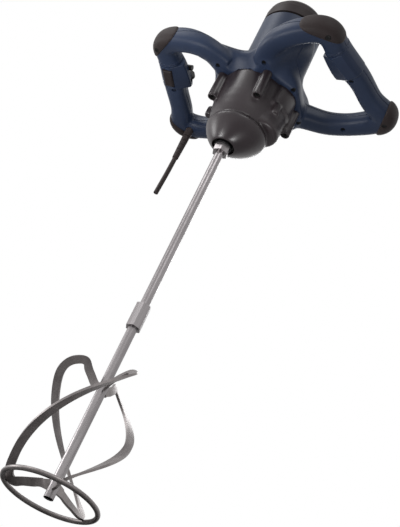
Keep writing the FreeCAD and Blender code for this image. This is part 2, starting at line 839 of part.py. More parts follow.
# Armature
motor_pinion = gear(fast_module, fast_pinion_teeth, armature_end_z, fast_z + fast_face + pinion_overhang,
                    motor_at, motor_angle + math.pi + math.pi / fast_pinion_teeth)
armature_shaft = joined([
    motor_pinion, cylinder(armature_r, armature_end_z, armature_top_z, motor_at)])
save(armature_shaft, "armature_shaft")
stator_top = stator_z + stator_length
press_r = armature_r + seat_gap
core_r = stator_bore_r - air_gap
save(tube(core_r, press_r, stator_z, stator_top, motor_at), "armature_core")
windings = [
    tube(winding_r, press_r, low, low + winding_height, motor_at)
    for low in (stator_z - winding_height, stator_top)]
save(Part.makeCompound(windings), "armature_windings")
commutator_z = stator_top + winding_height
save(tube(commutator_r, press_r, commutator_z, commutator_z + commutator_length, motor_at), "commutator")
fan = tube(fan_r, press_r, fan_z, fan_z + fan_disc, motor_at)
fan_pieces = [fan, tube(fan_hub_r, press_r, fan_z, fan_z + fan_blade_height, motor_at)]
for i in range(fan_blade_count):
    vane = Part.makeBox(fan_r - fan_hub_r, fan_blade_thick, fan_blade_height - fan_disc,
                        motor_at + V(fan_hub_r - fan_blade_thick / 2, -fan_blade_thick / 2, fan_z + fan_disc))
    fan_pieces.append(turn(vane, 360 * i / fan_blade_count, motor_at))
save(joined(fan_pieces), "cooling_fan")
motor_bearing_zs = (plate_z, motor_web_z - motor_bearing_height + motor_web)
motor_rings = [
    tube(motor_bearing_r - seat_gap, armature_r + running_gap, low, low + motor_bearing_height, motor_at)
    for low in motor_bearing_zs]
save(Part.makeCompound(motor_rings), "armature_bearings")

# Stator, brushes and their holders
save(tube(stator_r, stator_bore_r, stator_z, stator_top, motor_at), "stator_core")
coils = []
for low in (stator_z - coil_height, stator_top):
    for middle in (0, 180):
        ring = Part.Face(Part.makePolygon([
            motor_at + V(coil_inner_r, 0, low), motor_at + V(coil_outer_r, 0, low),
            motor_at + V(coil_outer_r, 0, low + coil_height), motor_at + V(coil_inner_r, 0, low + coil_height),
            motor_at + V(coil_inner_r, 0, low)]))
        coils.append(turn(ring.revolve(motor_at, UP, coil_span_deg), middle - coil_span_deg / 2 + 90, motor_at))
save(Part.makeCompound(coils), "field_coils")
brush_z = commutator_z + commutator_length / 2
brushes = []
holders = []
for side in (1, -1):
    start = commutator_r + running_gap
    carbon = Part.makeBox(brush_length, brush_width, brush_height,
                          V(start, -brush_width / 2, brush_z - brush_height / 2))
    width = brush_width + 2 * holder_wall + 2 * seat_gap
    height = brush_height + 2 * holder_wall + 2 * seat_gap
    holder_start = commutator_r + holder_gap
    holder = Part.makeBox(stator_r - width / 2 - holder_start, width, height,
                          V(holder_start, -width / 2, brush_z - height / 2))
    slot = Part.makeBox(brush_length + holder_gap, brush_width + 2 * seat_gap, brush_height + 2 * seat_gap,
                        V(start - holder_gap, -brush_width / 2 - seat_gap,
                          brush_z - brush_height / 2 - seat_gap))
    foot = Part.makeBox(motor_r, width, height, V(holder_start + brush_length, -width / 2, brush_z - height / 2))
    foot = foot.common(cylinder(stator_r, brush_z - height, brush_z + height))
    holder = holder.fuse(foot).cut(slot).removeSplitter()
    angle = 0 if side > 0 else 180
    brushes.append(turn(carbon, angle).translated(motor_at))
    holders.append(turn(holder, angle).translated(motor_at))
save(Part.makeCompound(brushes), "carbon_brushes")
save(Part.makeCompound(holders), "brush_holders")

# Motor housing, vent ring and end cap
housing = tube(motor_r, motor_r - motor_wall, case_top_z, motor_top_z, motor_at)
web = tube(motor_r - motor_wall / 2, motor_bearing_r, motor_web_z, motor_web_z + motor_web, motor_at)
web_sleeve = tube(motor_bearing_r + motor_wall, motor_bearing_r, motor_bearing_zs[1],
                  motor_web_z + motor_web, motor_at)
save(joined([housing, web, web_sleeve]), "motor_housing")
vent_bars = []
vent_ring_r = motor_r - motor_wall
vent = tube(vent_ring_r - seat_gap, vent_ring_r - 2 * motor_wall, motor_web_z + motor_web, cap_z, motor_at)
for i in range(vent_post_count):
    slot = Part.makeBox(motor_r, vent_post, vent_gap,
                        motor_at + V(motor_r / 2, -vent_post / 2, motor_top_z))
    vent_bars.append(turn(slot, 360 * i / vent_post_count, motor_at))
save(vent.cut(vent_bars), "vent_ring")
cap_top = cap_z + cap_height
cap_outer = turned(
    [(0, cap_z)] + shaped(cap_profile_shares, motor_r, cap_z, cap_height) + [(0, cap_top)], motor_at)
cap_inner = turned(
    [(0, cap_z - overrun), (motor_r - cap_wall, cap_z - overrun)]
    + shaped(cap_profile_shares, motor_r - cap_wall, cap_z, cap_height - cap_wall)
    + [(0, cap_top - cap_wall)], motor_at)
cap_neck = tube(vent_ring_r - 2 * motor_wall - seat_gap, vent_ring_r - 3 * motor_wall,
                motor_top_z - vent_gap, cap_z + cap_height / 2, motor_at)
cap_shelf = tube(motor_r - cap_wall / 2, vent_ring_r - 3 * motor_wall, cap_z, cap_z + cap_wall, motor_at)
save(joined([cap_outer.cut(cap_inner), cap_neck, cap_shelf]), "end_cap")

# Gearbox casting
case_outer = turned(
    [(0, case_floor_z)] + shaped(case_profile_shares, case_r, case_floor_z, case_dome_rise)
    + [(case_r, case_top_z), (0, case_top_z)], case_at)
nose = turned(
    [(0, nose_z)] + shaped(nose_profile_shares, nose_base_r, nose_z, nose_height)
    + [(nose_base_r, nose_top_z), (0, nose_top_z)])
lay_case = turned(
    [(0, lay_case_z)] + shaped(lay_profile_shares, lay_case_r, lay_case_z, lay_case_dome)
    + [(lay_case_r, case_top_z), (0, case_top_z)], lay_at)
bosses = [cylinder(case_boss_r, case_boss_z, case_top_z, at) for at in case_screw_places]
lugs = [cylinder(case_boss_r, lug_z, lug_z + lug_length, V(side * lug_x, lug_y, 0)) for side in (1, -1)]
webs = [boss_web(at, 0) for at in case_screw_places]
case_solid = joined([case_outer, nose, lay_case] + bosses + webs + lugs)
gear_room_r = case_r - case_wall
room_z = case_floor_z + case_wall
room = turned(
    [(0, room_z)] + shaped(room_profile_shares, gear_room_r, room_z, case_dome_rise)
    + [(gear_room_r, plate_z), (0, plate_z)], case_at)
lay_room = cylinder(lay_case_r - case_wall, lay_low + body_gap, plate_z, lay_at)
plate_seat = case_outline(plate_ledge - case_wall, plate_z, case_top_z + overrun)
case_cuts = [
    room, lay_room, plate_seat,
    cylinder(spindle_collar_r + body_gap, nose_z - overrun, slow_z),
    cylinder(seal_r, nose_z - overrun, seal_z + seal_height),
    cylinder(spindle_bearing_r, bearing_z, case_floor_z + 2 * case_wall),
    cylinder(lay_bearing_r, lay_bearing_z, plate_z, lay_at)]
case_cuts += [
    cylinder(case_screw_r + slide_gap, case_boss_z - overrun, case_top_z + overrun, at)
    for at in case_screw_places]
save(biggest(case_solid.cut(case_cuts)), "gearbox_housing")
plate = case_outline(plate_ledge - case_wall - seat_gap, plate_z, case_top_z)
plate = plate.cut([
    cylinder(bush_r, plate_z - overrun, plate_z + bush_height),
    cylinder(spindle_journal_r + body_gap, plate_z, case_top_z - motor_wall),
    cylinder(lay_bearing_r, plate_z - overrun, plate_z + lay_bearing_height + body_gap, lay_at),
    cylinder(motor_bearing_r, plate_z - overrun, plate_z + motor_bearing_height, motor_at),
    cylinder(armature_r + body_gap, plate_z, case_top_z + overrun, motor_at)])
save(plate.removeSplitter(), "bearing_plate")


def screw(at, head_low, head_r, head, shank_r, length):
    """Screw driven upwards, with a hexagon socket in its head."""
    head_solid = cylinder(head_r, head_low, head_low + head, at)
    shank = cylinder(shank_r, head_low + head, head_low + length, at)
    socket = hexagon(head_r, head_low - overrun, head_low + head / 2)
    socket.translate(at)
    return head_solid.fuse(shank).cut(socket).removeSplitter()


save(Part.makeCompound([
    screw(at, case_boss_z - case_screw_head, case_screw_head_r, case_screw_head, case_screw_r,
          case_top_z + case_screw_grip - case_boss_z + case_screw_head)
    for at in case_screw_places]), "gearbox_screws")

# Handle frame, bumpers and screws
lower_shell, upper_shell = build_frame()
save(lower_shell, "lower_frame_shell")
save(upper_shell, "upper_frame_shell")
save(Part.makeCompound([
    screw(at, floor_at(at) + frame_screw_sink - frame_screw_head, frame_screw_head_r, frame_screw_head,
          frame_screw_r, frame_screw_length)
    for at in screw_places]), "frame_screws")
loop_core = loop_solid(body_gap / 2)
front_bumper = build_bumper(front_bumper_thick, *front_bumper_shares, bumper_screw_places["front_right"])
rear_bumper = build_bumper(rear_bumper_thick, *rear_bumper_shares, bumper_screw_places["rear_right"])
rear_blank = build_bumper(rear_bumper_thick, *rear_bumper_shares, None)
save(front_bumper, "front_right_bumper")
save(mirrored(front_bumper), "front_left_bumper")
save(rear_bumper, "rear_right_bumper")
save(mirrored(rear_blank).cut(cylinder(relief_top_r + body_gap, frame_floor - overrun, frame_split, relief_at)),
     "rear_left_bumper")
save(Part.makeCompound([
    screw(at, under_at(at) - bumper_floor - bumper_screw_head, frame_screw_head_r, bumper_screw_head,
          bumper_screw_r, bumper_screw_length)
    for at in bumper_screw_places.values()]), "bumper_screws")

# Trigger, its pin, spring and switch
trigger = left_box(trigger_spot, trigger_width, trigger_length, trigger_low, trigger_top)
low_edges = [edge for edge in trigger.Edges if edge.CenterOfMass.z < trigger_low + trigger_round]
trigger = trigger.makeFillet(trigger_round, low_edges)
pin_hole = left_bar(trigger_spot, trigger_pin_r + running_gap, -trigger_width, trigger_width,
                    trigger_pin_z, trigger_pin_along)
save(trigger.cut(pin_hole), "trigger")
save(left_bar(trigger_spot, trigger_pin_r, -trigger_pin_length / 2, trigger_pin_length / 2,
              trigger_pin_z, trigger_pin_along), "trigger_pin")
save(left_box(trigger_spot, switch_width, switch_length, switch_low, switch_top), "switch_module")
spring_along = -trigger_length / 4
spring_low = trigger_top + seat_gap
spring_at = on_left(trigger_spot.point(along=spring_along, z=spring_low))
save(tube(spring_r + spring_wire_r, spring_r - spring_wire_r, spring_low, switch_low - seat_gap,
          V(spring_at.x, spring_at.y, 0)), "trigger_spring")

# Lock button and speed wheel
lock_face = lock_spot.half + lock_spot.swell + lock_proud
save(left_bar(lock_spot, lock_r, lock_face - lock_length, lock_face, lock_z), "lock_button")
dial_axis = on_left(dial_spot.along)
dial_middle = on_left(dial_spot.point(inward=dial_in, z=dial_z))
wheel = Part.makeCylinder(dial_r, dial_thick, dial_middle - dial_axis * (dial_thick / 2), dial_axis)
notch_tools = []
for i in range(dial_teeth):
    notch = Part.makeCylinder(dial_tooth, 2 * dial_thick, dial_middle - dial_axis * dial_thick + V(0, 0, dial_r),
                              dial_axis)
    notch.rotate(dial_middle, dial_axis, 360 * i / dial_teeth)
    notch_tools.append(notch)
dial_bore = Part.makeCylinder(dial_pin_r + running_gap, 2 * dial_thick, dial_middle - dial_axis * dial_thick,
                              dial_axis)
save(wheel.cut(notch_tools + [dial_bore]), "speed_dial")
module = left_box(dial_spot, module_width, module_length, dial_z - module_height / 2,
                  dial_z + module_height / 2, module_in, module_along)
module_pin = Part.makeCylinder(dial_pin_r, module_along + dial_thick / 2,
                               dial_middle - dial_axis * (dial_thick / 2), dial_axis)
save(module.fuse(module_pin).removeSplitter(), "speed_module")

# Strain relief, mains lead and the clamp inside
relief_low = relief_seat_z - frame_wall - relief_length
relief = turned([
    (0, relief_low), (relief_tip_r, relief_low), (relief_top_r, relief_seat_z),
    (relief_flange_r, relief_seat_z), (relief_flange_r, relief_seat_z + relief_flange),
    (0, relief_seat_z + relief_flange)], relief_at)
for i in range(relief_rib_count):
    low = relief_low + relief_neck / 2 + i * (relief_length - relief_neck) / relief_rib_count
    groove = tube(relief_flange_r, cord_r + relief_slot / 2, low, low + relief_slot, relief_at)
    relief = relief.cut(groove)
save(relief, "strain_relief")


def route_wire(points):
    """Straight runs joined by the largest tangent arcs, as a wire."""
    edges = []
    start = points[0]
    for before, corner, after in zip(points, points[1:], points[2:]):
        into = (corner - before).normalize()
        out = (after - corner).normalize()
        bend = into.getAngle(out)
        reach = cord_bend_share * min((corner - before).Length, (after - corner).Length)
        arc_start = corner - into * reach
        arc_end = corner + out * reach
        inward = (out - into).normalize()
        radius = reach / math.tan(bend / 2)
        depth = radius / math.cos(bend / 2) - radius
        edges.append(Part.LineSegment(start, arc_start).toShape())
        edges.append(Part.Arc(arc_start, corner + inward * depth, arc_end).toShape())
        start = arc_end
    edges.append(Part.LineSegment(start, points[-1]).toShape())
    return Part.Wire(edges)


route = [V(*point) for point in cord_route]
route[0].z = relief_low
cord_wire = route_wire(route)
cord_start = Part.Wire([Part.makeCircle(cord_r, route[0], route[1] - route[0])])
cord = cord_wire.makePipeShell([cord_start], True, False)
print("cord starts at", route[0], "length", round(cord_wire.Length, 1))
save(cord, "mains_cord")
clamp_low = clamp_spot.low + frame_wall + clamp_lift
save(left_box(clamp_spot, clamp_width, clamp_length, clamp_low, clamp_low + clamp_height), "cord_clamp")

print("layshaft at", round(lay_x, 4), round(lay_y, 4))
print("trigger pin", on_left(trigger_spot.point(along=trigger_pin_along, z=trigger_pin_z)),
      on_left(trigger_spot.inward))
print("lock button", on_left(lock_spot.point(inward=lock_face, z=lock_z)), on_left(lock_spot.inward))
print("speed dial", dial_middle, dial_axis)
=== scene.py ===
import json
import math

import bmesh
import bpy
import numpy as np
from mathutils import Matrix, Vector


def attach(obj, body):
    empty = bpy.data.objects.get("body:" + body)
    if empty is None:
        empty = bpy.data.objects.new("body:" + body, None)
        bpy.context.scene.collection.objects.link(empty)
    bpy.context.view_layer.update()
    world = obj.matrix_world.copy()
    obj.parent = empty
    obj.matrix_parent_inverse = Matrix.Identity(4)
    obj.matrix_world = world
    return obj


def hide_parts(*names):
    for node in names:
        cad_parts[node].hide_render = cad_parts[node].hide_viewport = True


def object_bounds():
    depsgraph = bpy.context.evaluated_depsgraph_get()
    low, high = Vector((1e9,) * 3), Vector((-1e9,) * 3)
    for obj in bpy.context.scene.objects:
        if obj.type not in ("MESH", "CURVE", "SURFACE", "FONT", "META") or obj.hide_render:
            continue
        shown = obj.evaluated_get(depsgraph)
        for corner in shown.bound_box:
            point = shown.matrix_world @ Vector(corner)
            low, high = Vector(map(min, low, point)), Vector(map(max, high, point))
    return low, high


# Mixing drill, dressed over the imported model. Metres, in the model's frame.

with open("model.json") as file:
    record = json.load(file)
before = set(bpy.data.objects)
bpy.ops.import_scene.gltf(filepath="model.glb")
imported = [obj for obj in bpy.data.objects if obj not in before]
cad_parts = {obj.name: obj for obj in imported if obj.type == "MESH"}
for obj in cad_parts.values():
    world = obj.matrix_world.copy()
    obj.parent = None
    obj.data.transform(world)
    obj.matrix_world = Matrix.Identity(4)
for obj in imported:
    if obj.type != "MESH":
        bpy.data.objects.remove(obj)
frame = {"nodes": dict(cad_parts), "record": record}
cad_low, cad_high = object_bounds()
scene = bpy.context.scene
MM = 0.001


# Camera of the photograph
camera_place = (0.7678, -0.9147, -0.3995)
camera_right = (0.852, 0.3775, 0.3628)
camera_back = (0.5222, -0.6656, -0.5335)
lens_mm, sensor_mm, nearest = 76.56, 36.0, 0.05
camera_data = bpy.data.cameras.new("camera")
camera_data.sensor_width = sensor_mm
camera_data.lens = lens_mm
camera_data.clip_start = nearest
camera = bpy.data.objects.new("camera", camera_data)
scene.collection.objects.link(camera)
right = Vector(camera_right).normalized()
back = Vector(camera_back).normalized()
above = back.cross(right).normalized()
right = above.cross(back).normalized()
camera.matrix_world = Matrix((
    (right.x, above.x, back.x, camera_place[0]),
    (right.y, above.y, back.y, camera_place[1]),
    (right.z, above.z, back.z, camera_place[2]),
    (0.0, 0.0, 0.0, 1.0)))
scene.camera = camera


# Material helpers

class Nodes:
    """Short way to add linked shader nodes to one material."""

    def __init__(self, name):
        self.material = bpy.data.materials.new(name)
        self.material.use_nodes = True
        self.tree = self.material.node_tree
        self.shader = self.tree.nodes["Principled BSDF"]
        self.coords = self.tree.nodes.new("ShaderNodeTexCoord").outputs["Object"]

    def add(self, kind, inputs=(), **settings):
        node = self.tree.nodes.new(kind)
        for key, value in settings.items():
            setattr(node, key, value)
        for key, value in dict(inputs).items():
            self.put(node.inputs[key], value)
        return node

    def put(self, socket, value):
        if isinstance(value, bpy.types.NodeSocket):
            self.tree.links.new(value, socket)
        else:
            socket.default_value = value

    def set(self, **values):
        for key, value in values.items():
            self.put(self.shader.inputs[key.replace("_", " ")], value)

    def noise(self, scale, detail=4.0, roughness=0.55, stretch=None):
        where = self.coords
        if stretch:
            where = self.add("ShaderNodeMapping", {"Vector": where, "Scale": stretch}).outputs["Vector"]
        return self.add("ShaderNodeTexNoise", {
            "Vector": where, "Scale": scale, "Detail": detail, "Roughness": roughness}).outputs["Fac"]

    def ramp(self, factor, low, high, start=0.3, end=0.7):
        node = self.add("ShaderNodeMapRange", {
            "Value": factor, "From Min": start, "From Max": end, "To Min": low, "To Max": high})
        return node.outputs["Result"]

    def mix(self, factor, first, second):
        node = self.add("ShaderNodeMix", data_type="RGBA")
        self.put(node.inputs[0], factor)
        self.put(node.inputs[6], first)
        self.put(node.inputs[7], second)
        return node.outputs[2]

    def bump(self, height, strength, distance):
        node = self.add("ShaderNodeBump", {"Height": height, "Strength": strength, "Distance": distance})
        return node.outputs["Normal"]


def rgb(red, green, blue):
    """Linear colour from the 0 to 255 values of a screen colour."""
    def linear(value):
        value /= 255
        return value / 12.92 if value <= 0.04045 else ((value + 0.055) / 1.055) ** 2.4
    return (linear(red), linear(green), linear(blue), 1.0)


def plastic(name, dark, light, roughness, grain, depth, gloss):
    """Moulded plastic or rubber: fine spark grain, faint clouding, worn gloss."""
    nodes = Nodes(name)
    cloud = nodes.noise(14.0, 3.0)
    speck = nodes.noise(grain, 2.0, 0.6)
    colour = nodes.mix(nodes.ramp(cloud, 0.0, 1.0), dark, light)
    nodes.set(Base_Color=colour, Roughness=nodes.ramp(cloud, roughness - 0.05, roughness + 0.06))
    nodes.set(Normal=nodes.bump(speck, 0.35, depth))
    nodes.set(IOR=1.48, Specular_IOR_Level=gloss)
    return nodes.material


def steel(name, dark, light, roughness, stretch, metallic=1.0):
    """Plated or ground steel with fine drawn streaks and dull patches."""
    nodes = Nodes(name)
    streak = nodes.noise(60.0, 5.0, 0.6, stretch)
    patch = nodes.noise(22.0, 3.0)
    colour = nodes.mix(nodes.ramp(streak, 0.0, 1.0), dark, light)
    blotch = nodes.mix(nodes.ramp(patch, 0.0, 0.35, 0.45, 0.75), colour, dark)
    nodes.set(Base_Color=blotch, Metallic=metallic)
    nodes.set(Roughness=nodes.ramp(patch, roughness - 0.07, roughness + 0.10))
    nodes.set(Normal=nodes.bump(streak, 0.12, 0.00015))
    return nodes.material


rod_streaks = (1.0, 1.0, 0.03)
even_streaks = (1.0, 1.0, 1.0)
# Dark and light colour, roughness, grain, depth of the grain, gloss
plastics = {
    "frame_plastic": (rgb(30, 39, 58), rgb(36, 47, 69), 0.45, 2600.0, 0.00006, 0.24),
    "motor_plastic": (rgb(30, 39, 58), rgb(36, 47, 69), 0.45, 2600.0, 0.00006, 0.24),
    "bumper_rubber": (rgb(38, 32, 32), rgb(46, 39, 39), 0.58, 1800.0, 0.00012, 0.18),
    "cap_plastic": (rgb(38, 32, 33), rgb(46, 40, 40), 0.55, 1800.0, 0.0001, 0.18),
    "black_plastic": (rgb(18, 17, 18), rgb(25, 24, 25), 0.5, 2200.0, 0.00006, 0.25),
    "gear_casting": (rgb(34, 28, 31), rgb(42, 35, 38), 0.36, 1500.0, 0.0001, 0.42),
    "carbon": (rgb(30, 30, 30), rgb(42, 42, 42), 0.7, 1200.0, 0.0001, 0.2),
    "cord_rubber": (rgb(46, 40, 40), rgb(58, 51, 50), 0.6, 1500.0, 0.00008, 0.2),
}
# Dark and light colour, roughness, stretch of the streaks, share of metal where it isn't all metal
steels = {
    "zinc_steel": (rgb(112, 108, 109), rgb(158, 154, 155), 0.36, rod_streaks),
    "blade_steel": (rgb(110, 105, 105), rgb(142, 137, 136), 0.44, (1.0, 1.0, 0.4)),
    "black_steel": (rgb(10, 10, 11), rgb(18, 18, 19), 0.55, even_streaks, 0.3),
    "dark_steel": (rgb(40, 40, 42), rgb(62, 62, 64), 0.42, even_streaks),
    "bright_steel": (rgb(165, 165, 167), rgb(200, 200, 202), 0.28, even_streaks),
    "lamination": (rgb(96, 96, 100), rgb(128, 128, 132), 0.4, (0.05, 0.05, 20.0)),
    "copper": (rgb(150, 84, 48), rgb(190, 110, 66), 0.35, (0.2, 0.2, 12.0)),
    "bronze": (rgb(150, 122, 76), rgb(180, 148, 96), 0.42, even_streaks),
    "alloy": (rgb(150, 150, 152), rgb(184, 184, 186), 0.4, even_streaks),
}
materials = {name: plastic(name, *look) for name, look in plastics.items()}
materials.update({name: steel(name, *look) for name, look in steels.items()})


def paint(piece, name):
    piece.data.materials.clear()
    piece.data.materials.append(materials[name])


for entry in frame["record"]["subparts"]:
    name = entry["material_slot"]
    if entry["node"].startswith("paddle_blade") or entry["node"] == "paddle_ring":
        name = "blade_steel"
    if entry["node"].endswith("_screws"):
        name = "black_steel"
    if entry["node"] == "trigger":
        name = "cap_plastic"
    paint(frame["nodes"][entry["node"]], name)


# Mains lead: one smooth curve on the route of the solid
cord_route = (
    (-0.1512, 0.0915, 0.60803),
    (-0.1512, 0.0915, 0.590),
    (-0.1519, 0.0915, 0.564),
    (-0.1532, 0.0915, 0.536),
)
cord_curve = bpy.data.curves.new("mains_lead", "CURVE")
cord_curve.dimensions = "3D"
cord_curve.bevel_depth = 0.0036
cord_curve.bevel_resolution = 6
cord_curve.use_fill_caps = True
cord_line = cord_curve.splines.new("NURBS")
cord_line.points.add(len(cord_route) - 1)
for point, place in zip(cord_line.points, cord_route):
    point.co = (*place, 1.0)
cord_line.order_u = 3
cord_line.use_endpoint_u = True
cord_line.resolution_u = 16
mains_lead = bpy.data.objects.new("mains_lead", cord_curve)
scene.collection.objects.link(mains_lead)
mains_lead.data.materials.append(materials["cord_rubber"])
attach(mains_lead, "frame")
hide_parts("mains_cord")


# Mesh helpers

def piece_from(name, verts, faces):
    mesh = bpy.data.meshes.new(name)
    mesh.from_pydata([tuple(v) for v in verts], [], faces)
    mesh.update()
    piece = bpy.data.objects.new(name, mesh)
    scene.collection.objects.link(piece)
    return piece


def rings(sections, name):
    """Closed tube through rings of points, with flat ends."""
    count = len(sections[0])
    verts = [p for ring in sections for p in ring]
    faces = []
    for i in range(len(sections) - 1):
        for j in range(count):
            k = (j + 1) % count
            faces.append((i * count + j, i * count + k, (i + 1) * count + k, (i + 1) * count + j))
    last = (len(sections) - 1) * count
    faces.append(tuple(reversed(range(count))))
    faces.append(tuple(last + j for j in range(count)))
    piece = piece_from(name, verts, faces)
    outward(piece)
    return piece


def outward(piece):
    work = bmesh.new()
    work.from_mesh(piece.data)
    bmesh.ops.recalc_face_normals(work, faces=work.faces)
    work.to_mesh(piece.data)
    work.free()


def circle(at, radius, z, steps):
    """Level ring of points; millimetres in, metres out."""
    angles = [2 * math.pi * i / steps for i in range(steps)]
    return [
        (MM * (at[0] + radius * math.cos(a)), MM * (at[1] + radius * math.sin(a)), MM * z)
        for a in angles]


def turned(name, profile, at=(0.0, 0.0), steps=72):
    """Solid of revolution about a vertical axis; profile in millimetres."""
    return rings([circle(at, r, z, steps) for r, z in profile], name)


def drum(name, radius, low, high, at=(0.0, 0.0), steps=48):
    return turned(name, ((radius, low), (radius, high)), at, steps)


def merge(pieces, name):
    """One object from several, without welding."""
    work = bmesh.new()
    for piece in pieces:
        work.from_mesh(piece.data)
        bpy.data.objects.remove(piece)
    mesh = bpy.data.meshes.new(name)
    work.to_mesh(mesh)
    work.free()
    joined = bpy.data.objects.new(name, mesh)
    scene.collection.objects.link(joined)
    return joined


def bake(piece, kind, **settings):
    """Applies one modifier to a piece's mesh."""
    modifier = piece.modifiers.new(kind, kind)
    for key, value in settings.items():
        setattr(modifier, key, value)
    bpy.context.view_layer.update()
    shape = piece.evaluated_get(bpy.context.evaluated_depsgraph_get())
    mesh = bpy.data.meshes.new_from_object(shape)
    piece.modifiers.clear()
    old = piece.data
    piece.data = mesh
    bpy.data.meshes.remove(old)


def melt(piece, voxel, rounds):
    """Welds overlapping solids into one skin and softens the joins."""
    bake(piece, "REMESH", mode="VOXEL", voxel_size=voxel * MM)
    bake(piece, "SMOOTH", factor=0.5, iterations=rounds)


def carve(piece, tools):
    """Cuts each tool out of a piece."""
    for tool in tools:
        bake(piece, "BOOLEAN", object=tool, operation="DIFFERENCE", solver="MANIFOLD")
        bpy.data.objects.remove(tool)


def finish_shape(piece, degrees=38):
    for polygon in piece.data.polygons:
        polygon.use_smooth = True
    piece.data.set_sharp_from_angle(angle=math.radians(degrees))


def dress(piece, material, body, *nodes):
    paint(piece, material)
    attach(piece, body)
    if nodes:
        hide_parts(*nodes)


# Handle frame: the same stations and levels as the solids
reach, depth, floor_mm, height, width = 150.0, 100.0, 651.0, 50.0, 32.0
split_mm = 680.0
loop_shares = (
    (0.20, -0.38, 0.03, 0.48, 0.47, 0.00),
    (0.32, -0.60, 0.08, 0.61, 0.47, 0.00),
    (0.508, -0.712, 0.17, 0.81, 0.47, 0.00),
    (0.70, -0.717, 0.27, 0.93, 0.47, 0.00),
    (0.848, -0.632, 0.33, 0.96, 0.50, -0.15),
    (0.886, -0.394, 0.34, 0.97, 0.48, 0.14),
    (0.938, -0.081, 0.33, 0.96, 0.47, 0.40),
    (0.994, 0.246, 0.35, 0.93, 0.46, 0.06),
    (1.033, 0.564, 0.30, 0.87, 0.47, 0.00),
    (1.09, 0.783, 0.29, 0.91, 0.51, -0.13),
    (1.039, 0.943, 0.32, 0.94, 0.53, -0.15),
    (0.866, 0.993, 0.30, 0.89, 0.48, 0.00),
    (0.694, 0.98, 0.25, 0.82, 0.46, 0.00),
    (0.501, 0.903, 0.17, 0.77, 0.47, 0.00),
    (0.331, 0.766, 0.12, 0.77, 0.50, 0.00),
    (0.17, 0.66, 0.03, 0.80, 0.55, 0.00),
)
hub_floor = (
    (0.0, -0.327), (0.131, -0.378), (0.23, -0.50), (0.308, -0.474), (0.314, -0.336), (0.329, -0.177),
    (0.435, 0.052), (0.425, 0.281), (0.374, 0.58), (0.274, 0.80), (0.124, 0.90), (0.0, 0.92),
)
hub_knee = (
    (0.0, -0.453), (0.162, -0.523), (0.331, -0.648), (0.468, -0.573), (0.435, -0.396), (0.389, -0.236),
    (0.434, 0.022), (0.414, 0.261), (0.373, 0.561), (0.313, 0.82), (0.144, 0.94), (0.0, 0.96),
)
hub_waist = (
    (0.0, -0.405), (0.197, -0.51), (0.442, -0.654), (0.62, -0.492), (0.517, -0.275), (0.461, -0.077),
    (0.404, 0.182), (0.352, 0.402), (0.344, 0.581), (0.321, 0.821), (0.153, 0.94), (0.0, 0.97),
)
hub_deck = (
    (0.0, -0.179), (0.204, -0.29), (0.442, -0.466), (0.619, -0.392), (0.557, -0.135), (0.466, 0.063),
    (0.379, 0.223), (0.329, 0.383), (0.318, 0.563), (0.297, 0.783), (0.144, 0.891), (0.0, 0.92),
)
hub_levels = (
    (0.00, hub_floor, 0.93), (0.08, hub_floor, 1.00), (0.38, hub_knee, 1.00), (0.68, hub_waist, 1.00),
    (0.96, hub_deck, 1.00), (1.06, hub_deck, 0.90),
)


def cubic(values, at, closed=False):
    """Smooth curve through rows of values that stand at whole numbers."""
    values = np.asarray(values, float)
    n = len(values)
    system = np.zeros((n, n))
    pull = np.zeros_like(values)
    for i in range(n):
        if not closed and i in (0, n - 1):
            system[i, i] = 1
            continue
        before, after = (i - 1) % n, (i + 1) % n
        system[i, before] += 1
        system[i, i] += 4
        system[i, after] += 1
        pull[i] = 6 * (values[after] - 2 * values[i] + values[before])
    bend = np.linalg.solve(system, pull)
    at = np.asarray(at, float)
    i = np.floor(at).astype(int)
    i = i % n if closed else np.clip(i, 0, n - 2)
    t = (at - np.floor(at) if closed else at - i)[:, None]
    j = (i + 1) % n
    s = 1 - t
    return (values[i] * s + values[j] * t
            + bend[i] * (s ** 3 - s) / 6 + bend[j] * (t ** 3 - t) / 6)


def loop_frame(stations):
    """Table rows, directions along the right loop and inward directions."""
    stations = np.asarray(stations, float)
    rows = cubic(loop_shares, stations)
    end, step = len(loop_shares) - 1, 0.01
    ahead = (cubic(loop_shares, np.clip(stations + step, 0, end))
             - cubic(loop_shares, np.clip(stations - step, 0, end)))
    along = np.stack([ahead[:, 0] * reach, ahead[:, 1] * depth], 1)
    along /= np.linalg.norm(along, axis=1)[:, None]
    return rows, along, np.stack([-along[:, 1], along[:, 0]], 1)


def power(values, exponent):
    return np.sign(values) * np.abs(values) ** exponent


def loop_sections(stations, grow=0.0, points=32, swell_share=1.0):
    """Rings of the right loop in millimetres: stations by points by xyz."""
    rows, along, inward = loop_frame(stations)
    angle = 2 * np.pi * np.arange(points) / points
    side = power(np.cos(angle), 0.72)
    lift = power(np.sin(angle), 0.72)
    low = floor_mm + height * rows[:, 2]
    high = floor_mm + height * rows[:, 3]
    swell = np.maximum(0, rows[:, 5:6]) * width * swell_share
    spread = rows[:, 4:5] * width + grow + np.where(side > 0, 1, 0) * swell
    xy = rows[:, None, :2] * (reach, depth) + inward[:, None, :] * (side * spread)[:, :, None]
    z = ((low + high) / 2)[:, None] + lift[None, :] * (((high - low) / 2)[:, None] + grow)
    return np.concatenate([xy, z[:, :, None]], 2)


def left_spot(station, inward=0.0, along=0.0):
    """Place beside the left loop's centre line, in plan."""
    rows, ahead, across = loop_frame([station])
    x, y = rows[0, :2] * (reach, depth) + across[0] * inward + ahead[0] * along
    return -x, y


def left_reach(station):
    """Distance from the loop's centre line to the inner face of the grip."""
    row = cubic(loop_shares, [station])[0]
    return (row[4] + row[5]) * width


def left_heading(station):
    along = loop_frame([station])[1][0]
    return -along[0], along[1]


def mirrored(points):
    return points * (-1, 1, 1)


